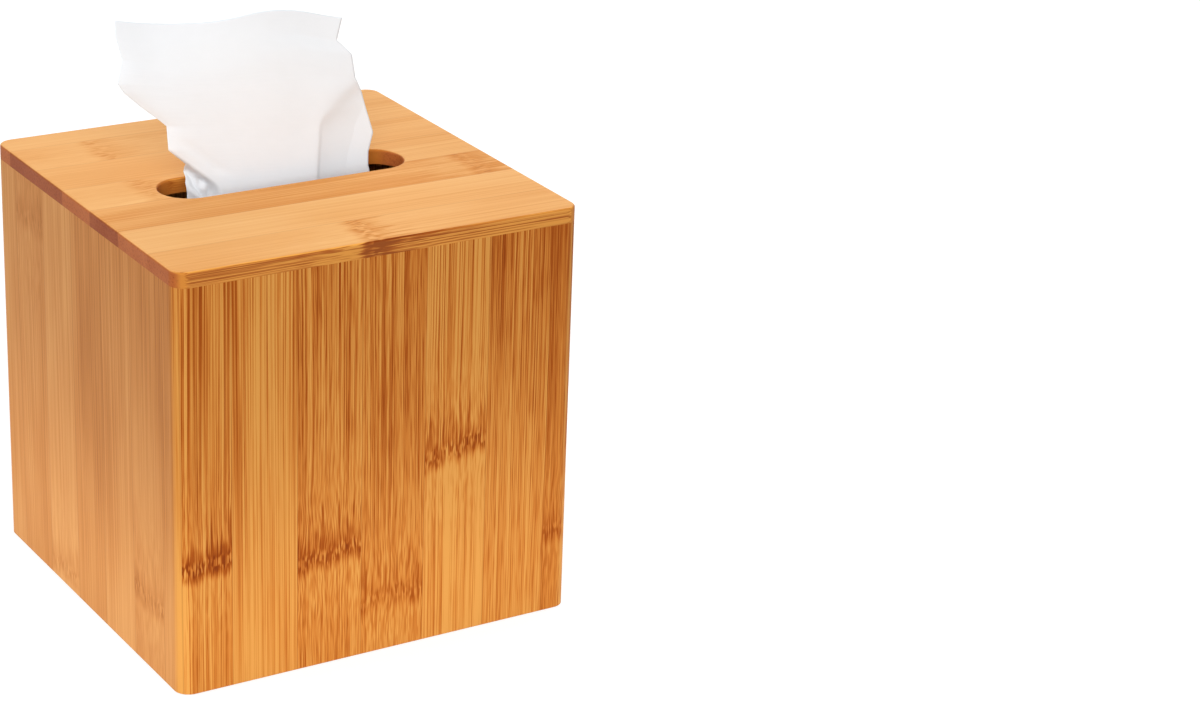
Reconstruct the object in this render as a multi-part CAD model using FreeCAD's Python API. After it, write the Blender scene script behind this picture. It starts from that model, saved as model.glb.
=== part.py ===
import FreeCAD, Part
import os
from FreeCAD import Vector

# Tissue box cover of bamboo laths, in millimetres.
# The origin is the middle of the footprint on the table, +Z is up, and the front wall faces -Y.

# Outside of the box
BOX_WIDTH = 140.0
BOX_DEPTH = 140.0
BOX_HEIGHT = 140.0
WALL = 5.0
TOP_THICKNESS = 5.0
CORNER_RADIUS = 5.0
ARRIS_RADIUS = 0.8

# Laths: every panel has as many, whole ones between a first and a last that are cut to width
LATHS_PER_PANEL = 7
FRONT_FIRST_LATH = 17.8
FRONT_LAST_LATH = 10.2
LEFT_FIRST_LATH = 11.7
LEFT_LAST_LATH = 16.3
RIGHT_FIRST_LATH = 15.0
RIGHT_LAST_LATH = 13.0
BACK_FIRST_LATH = 9.0
BACK_LAST_LATH = 19.0
TOP_FIRST_LATH = 20.0
TOP_LAST_LATH = 12.5
BASE_FIRST_LATH = 13.6
BASE_LAST_LATH = 13.4

# Slot in the top panel, with fully rounded ends
SLOT_LENGTH = 86.0
SLOT_WIDTH = 20.0

# Base panel, which slides in grooves and comes out under the back wall
BASE_THICKNESS = 4.0
BASE_LIFT = 3.0
GROOVE_DEPTH = 2.5
BASE_PLAY = 0.25
NOTCH_RADIUS = 10.0

# Tissue pack, bent into a U that stands on the base
PACK_SIDE_ROOM = 13.0
PACK_FRONT_ROOM = 20.0
PACK_HEADROOM = 42.0
PACK_BEND_RADIUS = 24.0
SOFT_CLEARANCE = 0.3

# Standing tissue: its tail lies in the pack, its neck in the slot and its flare above the top panel
TAIL_ROOM = 5.0
TAIL_BULK = 4.0
TAIL_SWAY = 0.3
NECK_ROOM = 9.5
NECK_BULK = 2.4
NECK_SWAY = 2.0
FLARE_BULK = 2.4
FLARE_SWAY = 4.0
FLARE_LEAN = 15.0
# Rows of the flare: height above the top panel at the left and right edges, and how far each edge
# stands out past the neck
FLARE_ROWS = [
    (8.3, 8.6, -0.5, 1.3),
    (22.2, 21.2, 4.7, -0.8),
    (36.3, 33.6, 19.5, -3.9),
    (46.3, 39.3, 16.9, -7.5),
    (53.9, 45.4, 16.6, -4.7),
]
# Folds of the tissue, as shares of its width from the left edge
FOLD_LINES = [0.0, 0.30, 0.70, 1.0]

# Places that follow from the sizes
half_width = BOX_WIDTH / 2
half_depth = BOX_DEPTH / 2
inner_half_width = half_width - WALL
inner_half_depth = half_depth - WALL
wall_top = BOX_HEIGHT - TOP_THICKNESS
base_top = BASE_LIFT + BASE_THICKNESS
back_wall_bottom = base_top + BASE_PLAY
pack_bottom = base_top + SOFT_CLEARANCE
pack_top = wall_top - PACK_HEADROOM
pack_gap = TAIL_BULK + 2 * TAIL_SWAY + 2 * SOFT_CLEARANCE
pack_half_depth = inner_half_depth - PACK_FRONT_ROOM
pack_leg = pack_half_depth - pack_gap / 2
gap_bottom = pack_bottom + pack_leg
neck_half_width = SLOT_LENGTH / 2 - NECK_ROOM
tail_half_width = SLOT_LENGTH / 2 - TAIL_ROOM


def block(low, high):
    """A box between two opposite corners."""
    size = [b - a for a, b in zip(low, high)]
    return Part.makeBox(size[0], size[1], size[2], Vector(*low))


def prism(points, bottom, top):
    """A plan outline of straight lines, extruded from one height to another."""
    corners = [Vector(x, y, bottom) for x, y in points]
    outline = Part.makePolygon(corners + corners[:1])
    return Part.Face(outline).extrude(Vector(0, 0, top - bottom))


def rounded_box(bottom, top):
    """The outside of the box between two heights, with its rounded upright corners."""
    solid = block((-half_width, -half_depth, bottom), (half_width, half_depth, top))
    upright = [edge for edge in solid.Edges if abs(edge.tangentAt(edge.FirstParameter).z) > 0.5]
    return solid.makeFillet(CORNER_RADIUS, upright)


def lath_edges(start, end, first, last):
    """The glue lines of a panel: its whole laths share what its cut first and last ones leave."""
    whole_laths = LATHS_PER_PANEL - 2
    whole = (end - start - first - last) / whole_laths
    inner = [start + first + number * whole for number in range(whole_laths + 1)]
    return [start] + inner + [end]


def saw(panel, along, edges):
    """The laths of a panel, cut at glue lines across X (along 0) or Y (along 1)."""
    box = panel.BoundBox
    laths = []
    for low_edge, high_edge in zip(edges, edges[1:]):
        low = [box.XMin, box.YMin, box.ZMin]
        high = [box.XMax, box.YMax, box.ZMax]
        low[along] = low_edge
        high[along] = high_edge
        solids = panel.common(block(low, high)).Solids
        laths.append(solids[0] if len(solids) == 1 else Part.makeCompound(solids))
    return laths


def slot_cutter(bottom, top):
    """The slot's round-ended outline between two heights."""
    reach = (SLOT_LENGTH - SLOT_WIDTH) / 2
    radius = SLOT_WIDTH / 2
    middle = block((-reach, -radius, bottom), (reach, radius, top))
    ends = [Part.makeCylinder(radius, top - bottom, Vector(x, 0, bottom)) for x in (-reach, reach)]
    return middle.multiFuse(ends).removeSplitter()


def top_panel():
    """The top panel with its slot, and a round-over on every upper edge."""
    panel = rounded_box(wall_top, BOX_HEIGHT).cut(slot_cutter(wall_top, BOX_HEIGHT))
    upper = [edge for edge in panel.Edges if edge.BoundBox.ZMin > BOX_HEIGHT - TOP_THICKNESS / 2]
    return panel.makeFillet(ARRIS_RADIUS, upper)


def base_space():
    """The space that the base runs in: grooves on three sides, open to the back."""
    return block(
        (-inner_half_width - GROOVE_DEPTH, -inner_half_depth - GROOVE_DEPTH, BASE_LIFT - BASE_PLAY),
        (inner_half_width + GROOVE_DEPTH, half_depth, base_top + BASE_PLAY),
    )


def front_wall():
    """The front wall, mitred at both ends and grooved for the base."""
    outline = [
        (-half_width, -half_depth),
        (half_width, -half_depth),
        (inner_half_width, -inner_half_depth),
        (-inner_half_width, -inner_half_depth),
    ]
    return prism(outline, 0, wall_top).common(rounded_box(0, wall_top)).cut(base_space())


def back_wall():
    """The back wall, mitred at both ends and cut short above the base."""
    outline = [
        (-half_width, half_depth),
        (half_width, half_depth),
        (inner_half_width, inner_half_depth),
        (-inner_half_width, inner_half_depth),
    ]
    return prism(outline, back_wall_bottom, wall_top).common(rounded_box(0, wall_top))


def side_wall(side):
    """A side wall, -1 left or 1 right. Below the back wall its rear end runs square to the outside."""
    outer = side * half_width
    inner = side * inner_half_width
    front = [(outer, -half_depth), (inner, -inner_half_depth)]
    mitred = prism(front + [(inner, inner_half_depth), (outer, half_depth)], back_wall_bottom, wall_top)
    squared = prism(front + [(inner, half_depth), (outer, half_depth)], 0, back_wall_bottom)
    wall = mitred.fuse(squared).common(rounded_box(0, wall_top)).cut(base_space())
    return wall.removeSplitter()


def base_panel():
    """The sliding base, with a half-round finger notch in its rear edge."""
    reach = GROOVE_DEPTH - BASE_PLAY
    panel = block(
        (-inner_half_width - reach, -inner_half_depth - reach, BASE_LIFT),
        (inner_half_width + reach, half_depth, base_top),
    )
    notch = Part.makeCylinder(NOTCH_RADIUS, BASE_THICKNESS, Vector(0, half_depth, BASE_LIFT))
    return panel.common(rounded_box(BASE_LIFT, base_top)).cut(notch)


def arc(start, through, end):
    """An edge of less than half a circle through three points."""
    return Part.Arc(start, through, end).toShape()


def tissue_pack():
    """The stack of tissues bent into a U, with its gap open to the top."""
    left = -inner_half_width + PACK_SIDE_ROOM
    gap_half = pack_gap / 2
    corner = PACK_BEND_RADIUS * (1 - 0.5 ** 0.5)

    def at(y, z):
        return Vector(left, y, z)

    bend_y = pack_half_depth - PACK_BEND_RADIUS
    bend_z = pack_bottom + PACK_BEND_RADIUS
    dip = gap_half * (1 - 0.5 ** 0.5)
    edges = [
        Part.makeLine(at(-pack_half_depth, pack_top), at(-pack_half_depth, bend_z)),
        arc(
            at(-pack_half_depth, bend_z),
            at(-pack_half_depth + corner, pack_bottom + corner),
            at(-bend_y, pack_bottom),
        ),
        Part.makeLine(at(-bend_y, pack_bottom), at(bend_y, pack_bottom)),
        arc(
            at(bend_y, pack_bottom),
            at(pack_half_depth - corner, pack_bottom + corner),
            at(pack_half_depth, bend_z),
        ),
        Part.makeLine(at(pack_half_depth, bend_z), at(pack_half_depth, pack_top)),
        Part.makeLine(at(pack_half_depth, pack_top), at(gap_half, pack_top)),
        Part.makeLine(at(gap_half, pack_top), at(gap_half, gap_bottom + gap_half)),
        arc(
            at(gap_half, gap_bottom + gap_half),
            at(gap_half - dip, gap_bottom + dip),
            at(0, gap_bottom),
        ),
        arc(
            at(0, gap_bottom),
            at(-gap_half + dip, gap_bottom + dip),
            at(-gap_half, gap_bottom + gap_half),
        ),
        Part.makeLine(at(-gap_half, gap_bottom + gap_half), at(-gap_half, pack_top)),
        Part.makeLine(at(-gap_half, pack_top), at(-pack_half_depth, pack_top)),
    ]
    return Part.Face(Part.Wire(edges)).extrude(Vector(-2 * left, 0, 0))


def tissue_section(left, right, left_height, right_height, bulk, sway, left_lean=0.0, right_lean=0.0):
    """A closed section of the tissue: folds that swing to the back and front in turn."""

    def at(share, y):
        x = left + share * (right - left)
        z = left_height + share * (right_height - left_height)
        lean = left_lean + share * (right_lean - left_lean)
        return Vector(x, y + lean, z)

    front = []
    back = []
    for number, (start, end) in enumerate(zip(FOLD_LINES, FOLD_LINES[1:])):
        swing = -sway if number % 2 else sway
        middle = (start + end) / 2
        front.append(arc(at(start, -bulk / 2), at(middle, swing - bulk / 2), at(end, -bulk / 2)))
        back.append(arc(at(end, bulk / 2), at(middle, swing + bulk / 2), at(start, bulk / 2)))
    right_end = Part.makeLine(at(1, -bulk / 2), at(1, bulk / 2))
    left_end = Part.makeLine(at(0, bulk / 2), at(0, -bulk / 2))
    return Part.Wire(front + [right_end] + back[::-1] + [left_end])


def tissue():
    """The standing tissue: a tail held in the pack, a neck in the slot, and a flare that leans back."""
    tail_end = gap_bottom + pack_gap / 2
    tail = (-tail_half_width, tail_half_width)
    neck = (-neck_half_width, neck_half_width)
    sections = [
        tissue_section(*tail, tail_end, tail_end, TAIL_BULK, TAIL_SWAY),
        tissue_section(*tail, pack_top, pack_top, TAIL_BULK, TAIL_SWAY),
        tissue_section(*neck, wall_top, wall_top, NECK_BULK, NECK_SWAY),
        tissue_section(*neck, BOX_HEIGHT, BOX_HEIGHT, NECK_BULK, NECK_SWAY),
    ]
    flare_height = FLARE_ROWS[-1][0]
    for left_rise, right_rise, left_flare, right_flare in FLARE_ROWS:
        sections.append(tissue_section(
            neck[0] - left_flare,
            neck[1] + right_flare,
            BOX_HEIGHT + left_rise,
            BOX_HEIGHT + right_rise,
            FLARE_BULK,
            NECK_SWAY + left_rise / flare_height * (FLARE_SWAY - NECK_SWAY),
            FLARE_LEAN * (left_rise / flare_height) ** 2,
            FLARE_LEAN * (right_rise / flare_height) ** 2,
        ))
    return Part.makeLoft(sections, True, True)


# The panels, sawn into their laths
base_reach = inner_half_width + GROOVE_DEPTH - BASE_PLAY
panels = {
    "front_lath": saw(
        front_wall(), 0, lath_edges(-half_width, half_width, FRONT_FIRST_LATH, FRONT_LAST_LATH)),
    "back_lath": saw(
        back_wall(), 0, lath_edges(-half_width, half_width, BACK_FIRST_LATH, BACK_LAST_LATH)),
    "left_lath": saw(
        side_wall(-1), 1, lath_edges(-half_depth, half_depth, LEFT_FIRST_LATH, LEFT_LAST_LATH)),
    "right_lath": saw(
        side_wall(1), 1, lath_edges(-half_depth, half_depth, RIGHT_FIRST_LATH, RIGHT_LAST_LATH)),
    "top_lath": saw(
        top_panel(), 1, lath_edges(-half_depth, half_depth, TOP_FIRST_LATH, TOP_LAST_LATH)),
    "base_lath": saw(
        base_panel(), 0, lath_edges(-base_reach, base_reach, BASE_FIRST_LATH, BASE_LAST_LATH)),
}

nodes = {}
for panel_name, laths in panels.items():
    for number, lath in enumerate(laths, start=1):
        nodes[f"{panel_name}_{number}"] = lath
nodes["tissue_pack"] = tissue_pack()
nodes["tissue"] = tissue()

os.makedirs("parts", exist_ok=True)
for name, shape in nodes.items():
    shape.exportStep(f"parts/{name}.step")
    print(f"{name}: {len(shape.Solids)} solid, valid {shape.isValid()}, {shape.Volume / 1000:.2f} cm3")
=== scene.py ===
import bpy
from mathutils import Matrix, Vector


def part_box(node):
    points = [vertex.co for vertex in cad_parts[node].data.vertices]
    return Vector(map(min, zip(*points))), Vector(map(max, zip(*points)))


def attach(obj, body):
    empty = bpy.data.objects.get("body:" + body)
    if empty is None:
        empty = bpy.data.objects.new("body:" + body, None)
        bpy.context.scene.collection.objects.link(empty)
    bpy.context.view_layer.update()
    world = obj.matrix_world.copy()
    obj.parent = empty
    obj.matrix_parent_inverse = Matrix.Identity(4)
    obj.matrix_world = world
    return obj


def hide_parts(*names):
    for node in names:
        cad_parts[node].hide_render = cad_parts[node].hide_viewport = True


bl_info = {
    "name": "Bamboo tissue box cover",
    "version": (1, 0, 0),
    "blender": (4, 5, 0),
    "location": "View3D > Sidebar > Tissue cover",
    "description": "Finishes a tissue box cover of glued bamboo laths, and makes its tissues and studio",
    "category": "Object",
}

from math import pi, radians
from typing import NamedTuple

import bmesh
import bpy
import numpy as np
from bpy.props import FloatProperty, FloatVectorProperty, IntProperty, PointerProperty
from mathutils import Quaternion, Vector

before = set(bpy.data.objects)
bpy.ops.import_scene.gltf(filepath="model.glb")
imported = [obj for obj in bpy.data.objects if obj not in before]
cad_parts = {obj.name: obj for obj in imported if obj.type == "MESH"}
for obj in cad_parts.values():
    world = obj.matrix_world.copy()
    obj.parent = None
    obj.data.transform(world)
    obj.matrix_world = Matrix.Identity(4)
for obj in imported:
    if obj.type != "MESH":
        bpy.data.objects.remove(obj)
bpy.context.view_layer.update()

MM = 0.001
MM_PER_METRE = 1000.0
LATHS_PER_PANEL = 7


def linear(code):
    """An sRGB hex colour as linear red, green and blue."""
    values = [int(code[start:start + 2], 16) / 255 for start in (1, 3, 5)]
    return tuple(v / 12.92 if v <= 0.04045 else ((v + 0.055) / 1.055) ** 2.4 for v in values)


def colour(name, description, code):
    """A colour property that a user can change, from its hex value."""
    return FloatVectorProperty(
        name=name, description=description, default=linear(code), subtype="COLOR", size=3, min=0, max=1)


def length(name, description, millimetres):
    """A length property that a user can change, from its value in millimetres."""
    return FloatProperty(
        name=name, description=description, default=millimetres * MM, unit="LENGTH", precision=5, min=0)


def power(name, description, watts):
    """A lamp's power that a user can change, in watts."""
    return FloatProperty(name=name, description=description, default=watts, unit="POWER", min=0)


class BambooColours(bpy.types.PropertyGroup):
    """Colours of the lacquered bamboo."""

    front_pale: colour("Front, pale", "Soft wood between the fibres of the front laths", "#DC9A4B")
    front_middle: colour("Front, middle", "Common tone of the front laths", "#CA7B31")
    front_deep: colour("Front, deep", "Fibre streaks of the front laths", "#A65113")
    front_scar: colour("Front, knot", "Knot scars of the front laths", "#853808")
    side_pale: colour("Side, pale", "Soft wood between the fibres of the side laths", "#E1A15B")
    side_middle: colour("Side, middle", "Common tone of the side laths", "#CE8743")
    side_deep: colour("Side, deep", "Fibre streaks of the side laths", "#AE682C")
    side_scar: colour("Side, knot", "Knot scars of the side laths", "#94521E")
    # The top's colours are paler than the walls', partly painted light from above
    top_pale: colour("Top, pale", "Soft wood between the fibres of the top laths", "#F7C07A")
    top_middle: colour("Top, middle", "Common tone of the top laths", "#EDAC64")
    top_deep: colour("Top, deep", "Fibre streaks of the top laths", "#DA8C3E")
    top_scar: colour("Top, knot", "Knot scars of the top laths", "#B46C38")
    rim_pale: colour("Rim, pale", "Soft wood on the sanded rim of the top panel", "#F2AA4C")
    cut_pale: colour("Sawn end, pale", "Soft wood in the sawn ends of the laths", "#CE7539")
    cut_deep: colour("Sawn end, deep", "Fibre bundles in the sawn ends of the laths", "#974823")


class TissueSizes(bpy.types.PropertyGroup):
    """Sizes and colours of the tissues."""

    paper: colour("Paper", "Colour of the tissue paper", "#F6FAFE")
    thickness: length("Thickness", "Drawn thickness of the standing tissue's two plies", 0.14)
    ply_gap: length("Gap", "Room between the folded tissue's front and back", 2.2)
    tail_drop: length("Tail", "How far the tissue hangs below the top panel", 87.0)
    pleat_step: length("Pleat", "How far the right flank turns back behind the front", 2.6)
    leaves: IntProperty(
        name="Leaves", description="Bundles drawn in the pack", default=22, min=4, max=60)


class StudioSettings(bpy.types.PropertyGroup):
    """Camera, floor and lamps."""

    lens: FloatProperty(
        name="Lens", description="Focal length", default=95.06, unit="CAMERA", min=10, max=300)
    roll: FloatProperty(
        name="Roll", description="Turn of the camera about its view", default=radians(2.25),
        subtype="ANGLE")
    eye: FloatVectorProperty(
        name="Eye", description="Place of the camera", default=(-0.43484, -0.87175, 0.46972),
        unit="LENGTH")
    look: FloatVectorProperty(
        name="Look", description="Direction of the view", default=(0.50116, 0.78143, -0.37175),
        subtype="DIRECTION")
    floor: colour("Floor", "Colour of the floor", "#A8A8A8")
    key: power("Key", "Power of the key lamp", 9.4)
    fill: power("Fill", "Power of the left lamp", 2.0)
    back: power("Back", "Power of the rear lamp", 8.0)
    roof: power("Roof", "Power of the upper lamp", 1.4)
    foot: power("Foot", "Power of each low lamp", 0.034)
    sky: FloatProperty(name="Sky", description="Strength of the even light", default=0.54, min=0)


class LathPanel(NamedTuple):
    """A panel: its axes across the laths, through them and along the fibre, its colours and its seed."""

    axes: str
    colours: str
    seed: int


WALLS = ("front_lath", "left_lath", "right_lath", "back_lath")
PANELS = {
    "front_lath": LathPanel("XYZ", "front", 11),
    "left_lath": LathPanel("YXZ", "side", 12),
    "right_lath": LathPanel("YXZ", "side", 13),
    "back_lath": LathPanel("XYZ", "front", 14),
    "top_lath": LathPanel("YZX", "top", 21),
    "base_lath": LathPanel("XZY", "side", 31),
}


class Knot(NamedTuple):
    """A knot that crosses a lath.

    Its place is along the fibre and its rise across the lath, in mm. Strength is how dark its scar is, and
    ripple how much the fibres swirl and break into flecks near it.
    """

    place: float
    rise: float
    strength: float
    ripple: float


class Rim(NamedTuple):
    """How a lath shows on its panel's rim: its depth of colour there, and the contrast of its marks."""

    level: float
    contrast: float


# Most rims, and those of the top panel's front and back laths, whose marks stand out
PLAIN_RIM = Rim(0.62, 1.4)
BOLD_RIM = Rim(0.38, 4.2)


class Lath(NamedTuple):
    """The look of a lath.

    Its tone is darker or paler than its panel's, and darker by the climb at its far end than at its
    middle. On the wall laths the climb is partly painted light: most of them are paler at the foot, where
    the floor's light falls, and darker at the top. Streaks and feather are the strength of its long lines
    and of its short dashes, and sawn is how much darker its sawn ends are.
    """

    tone: float
    climb: float
    streaks: float
    feather: float
    knot: Knot = None
    sawn: float = 0.0
    rim: Rim = PLAIN_RIM


# The front laths from left to right, and the left and top laths from front to back
# The wall laths' climbs are mostly positive: partly painted light, paler towards the floor
LATHS = {
    "front_lath": [
        Lath(0.08, 0.10, 0.95, 0.2, Knot(43.5, 2.0, 0.85, 0.4)),
        Lath(-0.16, 0.13, 0.82, 0.2),
        Lath(0.07, 0.09, 0.70, 0.6, Knot(38.0, 3.0, 0.6, 0.9)),
        Lath(0.06, 0.08, 0.66, 0.6, Knot(18.5, 2.0, 0.33, 0.9)),
        Lath(-0.22, 0.13, 1.05, 0.3, Knot(65.0, 5.0, 0.62, 0.5)),
        Lath(0.04, 0.25, 0.68, 0.5),
        Lath(0.27, 0.14, 0.56, 0.4, Knot(28.5, -2.0, 0.32, 0.8)),
    ],
    "left_lath": [
        Lath(0.09, 0.24, 0.40, 0.1),
        Lath(0.02, 0.17, 0.35, 0.1, Knot(24.0, 1.0, 0.3, 0.9)),
        Lath(-0.01, 0.22, 0.35, 0.1),
        Lath(0.06, 0.11, 0.35, 0.1),
        Lath(-0.27, 0.06, 0.30, 0.1, Knot(6.0, 0.0, 0.3, 0.5)),
        Lath(-0.05, -0.04, 0.35, 0.1, Knot(122.0, 1.0, 0.2, 0.8)),
        Lath(-0.13, 0.01, 0.35, 0.1),
    ],
    "top_lath": [
        Lath(0.0, 0.0, 0.35, 0.1, Knot(-2.0, 2.0, 0.5, 0.5), rim=BOLD_RIM),
        Lath(-0.08, 0.0, 0.30, 0.1),
        Lath(0.22, 0.0, 0.40, 0.1, Knot(60.0, 1.0, 0.3, 0.6), sawn=0.3),
        Lath(-0.03, 0.0, 0.30, 0.1, Knot(-45.5, 0.0, 0.25, 0.6), sawn=-0.05),
        Lath(0.01, 0.0, 0.30, 0.1, sawn=0.3),
        Lath(0.01, 0.0, 0.30, 0.1, Knot(-42.5, 2.0, 0.25, 0.8), sawn=0.35),
        Lath(-0.04, 0.0, 0.30, 0.1, rim=BOLD_RIM),
    ],
}
# The other laths are drawn at random: between these limits, or with these values
RANDOM_TONES = (-0.15, 0.15)
RANDOM_CLIMBS = (-0.1, 0.1)
RANDOM_FEATHERS = (0.2, 0.9)
RANDOM_RISES = (-3, 4)
OTHER_STREAKS = 0.8
OTHER_SCARS = 0.6
OTHER_RIPPLES = 0.8
# The share of them that has a knot
KNOTTED_SHARE = 0.6


class Layer(NamedTuple):
    """Marks in the wood, drawn as noise: their width and length in mm, and its octaves.

    A mark starts to show at one value of the noise and is full at another, where it adds its gain.
    """

    width: float
    length: float
    octaves: float
    start: float
    full: float
    gain: float


# Range of the random shifts that give each lath its own stretch of the noise
NOISE_SHIFTS = 90
# Long marks of the fibre: soft bands, dark lines, hairlines and pale gleams
LONG_LAYERS = (
    Layer(5.0, 220.0, 1.0, 0.25, 0.75, 0.20),
    Layer(0.58, 150.0, 1.0, 0.44, 0.68, 0.54),
    Layer(0.38, 90.0, 0.0, 0.30, 0.70, 0.66),
    Layer(0.62, 120.0, 0.0, 0.56, 0.74, -0.40),
)
# What the long marks add to the depth on average
LONG_MEAN = 0.585
# The share of its streaks that a lath shows at its near end and at its far end. On the wall laths the near
# end is the foot, and its fainter streaks there are painted light: the haze of the floor's light.
STREAK_SHARES = (0.7, 1.1)
# Slow fading along the lath, as strong on one lath as on another
FADE = Layer(14.0, 70.0, 1.0, 0.25, 0.75, 0.27)
# Short dashes of the fibre, and what they add on average
FEATHER = Layer(0.36, 13.0, 0.0, 0.44, 0.70, 0.64)
FEATHER_MEAN = 0.235
# How the fibres stray sideways, in mm: their slow sway, and their eddies round a knot
SWAY = Layer(15.0, 120.0, 0.0, 0.2, 0.8, 0.8)
EDDY = Layer(4.0, 22.0, 0.0, 0.2, 0.8, 1.2)
# The marks of a knot: short flecks, spikes that climb from its scar, the scar's ragged line, its specks
FLECKS = Layer(0.42, 6.0, 0.0, 0.34, 0.68, 0.80)
SPIKES = Layer(0.8, 40.0, 1.0, 0.42, 0.75, 14.0)
RAGGED = Layer(2.4, 1e6, 2.0, 0.2, 0.8, 3.0)
SPECKS = Layer(0.55, 3.0, 0.0, 0.40, 0.62, 1.3)
# Distances from a knot in mm, up to which eddies and flecks are full and at which they are gone
KNOT_REACH = (4.0, 48.0)
# The share of the long marks that flecks replace at a knot
FLECKED_SHARE = 0.55
# A knot's scar, in mm above its line: where its foot starts and is full, where its head begins to end and
# is gone, and how much deeper its colour is
SCAR_FOOT = (-6.5, -1.5)
SCAR_HEAD = (0.0, 8.0)
SCAR_DEPTH = 0.85
# Distances from the scar's line in mm, up to which the specks are full and at which they are gone
SPECK_ROW = (0.8, 3.8)
# The paler wood below a scar, in mm above its line: where it starts and is palest, and by how much
PALE_STRETCH = (-28.0, -5.0)
PALE_DEPTH = 0.2
# The colour ramp's tones, and where they stand on the scale of depth
RAMP_TONES = ("pale", "middle", "deep", "scar")
RAMP_DEPTHS = (0.0, 0.5, 1.0, 1.6)
MIDDLE_DEPTH = RAMP_DEPTHS[1]
# How much paler a rounded edge is painted: partly wear from sanding, partly a painted highlight
WORN_EDGE_AND_HIGHLIGHT = 0.3
# How far a surface looks across the laths where the rim starts and is whole, and where its rounding
# begins to flatten and is flat
RIM_TURN = (0.1, 0.5)
FLAT_TURN = (0.75, 0.98)
# How far it looks along the fibre where the rim's marks fade and are gone, and where a sawn end starts and
# is whole
CORNER_TURN = (0.05, 0.45)
SAWN_TURN = (0.5, 0.9)
# Fibre bundles in a sawn end: their spacing in mm, and the radii of their dots, full and gone, in spacings
BUNDLE_SPACING = 0.9
BUNDLE_RADII = (0.15, 0.45)
# How deep a sawn end's colour is, and what the grain and the dots add to it
SAWN_LEVEL = 0.2
SAWN_GRAIN = 0.5
SAWN_DOTS = 0.3
# A seam's glue line: its width on each lath in mm, and how much it covers
GLUE_WIDTH = 0.25
GLUE_COVER = 0.35
# Roughness of the lacquer on pale wood and on fibres of this depth
LACQUER_ROUGHNESS = (0.42, 0.55)
DULL_DEPTH = 1.2
# How far the fibres sink under the lacquer, in mm
FIBRE_SINK = 0.1

# Settings of a Map Range node that rises in an S, and the colour sockets of a Mix node
SOFT = {"interpolation_type": "SMOOTHSTEP"}
MIX_A = 6
MIX_B = 7
MIXED = 2


def add_node(tree, kind, inputs=(), **settings):
    """Add a shader node with its settings, and set or link its inputs, given in order or by name."""
    node = tree.nodes.new("ShaderNode" + kind)
    for name, value in settings.items():
        setattr(node, name, value)
    pairs = inputs.items() if isinstance(inputs, dict) else enumerate(inputs)
    for key, value in pairs:
        if isinstance(value, bpy.types.Node):
            value = value.outputs[0]
        if isinstance(value, bpy.types.NodeSocket):
            tree.links.new(value, node.inputs[key])
        else:
            node.inputs[key].default_value = value
    return node


def new_material(name):
    """An empty material and its node tree."""
    material = bpy.data.materials.new(name)
    material.use_nodes = True
    material.node_tree.nodes.clear()
    return material, material.node_tree


def marks(tree, place, layer, draw):
    """A layer of marks from 0 to 1: noise drawn out along the fibre, shown between two values."""
    stretched = add_node(tree, "Mapping", {
        "Vector": place, "Location": draw.uniform(0, NOISE_SHIFTS, 3),
        "Scale": (1 / layer.width, 1 / layer.width, 1 / layer.length)})
    noise = add_node(tree, "TexNoise", {"Vector": stretched, "Scale": 1.0, "Detail": layer.octaves})
    return add_node(tree, "MapRange", [noise, layer.start, layer.full, 0.0, 1.0], **SOFT)


def add_marks(tree, place, layer, draw, base=0.0):
    """A layer of marks at its gain, added to a base."""
    shown = marks(tree, place, layer, draw)
    return add_node(tree, "Math", [shown, layer.gain, base], operation="MULTIPLY_ADD")


def add_scar(tree, depth, grain, bent, above, strength, draw):
    """The depth of the colour with a knot's scar, by the place above the scar's line in mm."""
    # A reddish smear with a soft foot, whose head climbs the fibres in spikes
    spikes = marks(tree, bent, SPIKES, draw)
    climbed = add_node(tree, "Math", [spikes, -SPIKES.gain, above], operation="MULTIPLY_ADD")
    head = add_node(tree, "MapRange", [climbed, *SCAR_HEAD, 1.0, 0.0], **SOFT)
    foot = add_node(tree, "MapRange", [above, *SCAR_FOOT, 0.0, 1.0], **SOFT)
    smear = add_node(tree, "Math", [foot, head], operation="MULTIPLY")
    depth = add_node(tree, "Math", [smear, SCAR_DEPTH * strength, depth], operation="MULTIPLY_ADD")
    # Along its middle, a row of dark and pale specks
    off = add_node(tree, "Math", [above], operation="ABSOLUTE")
    row = add_node(tree, "MapRange", [off, *SPECK_ROW, strength, 0.0], **SOFT)
    specks = add_marks(tree, grain, SPECKS, draw, -SPECKS.gain / 2)
    depth = add_node(tree, "Math", [specks, row, depth], operation="MULTIPLY_ADD")
    # Below it the wood is paler
    under = add_node(tree, "MapRange", [above, *PALE_STRETCH, 0.0, PALE_DEPTH], **SOFT)
    bare = add_node(tree, "Math", [1.0, foot], operation="SUBTRACT")
    pale = add_node(tree, "Math", [under, bare], operation="MULTIPLY")
    return add_node(tree, "Math", [pale, -strength, depth], operation="MULTIPLY_ADD")


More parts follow.
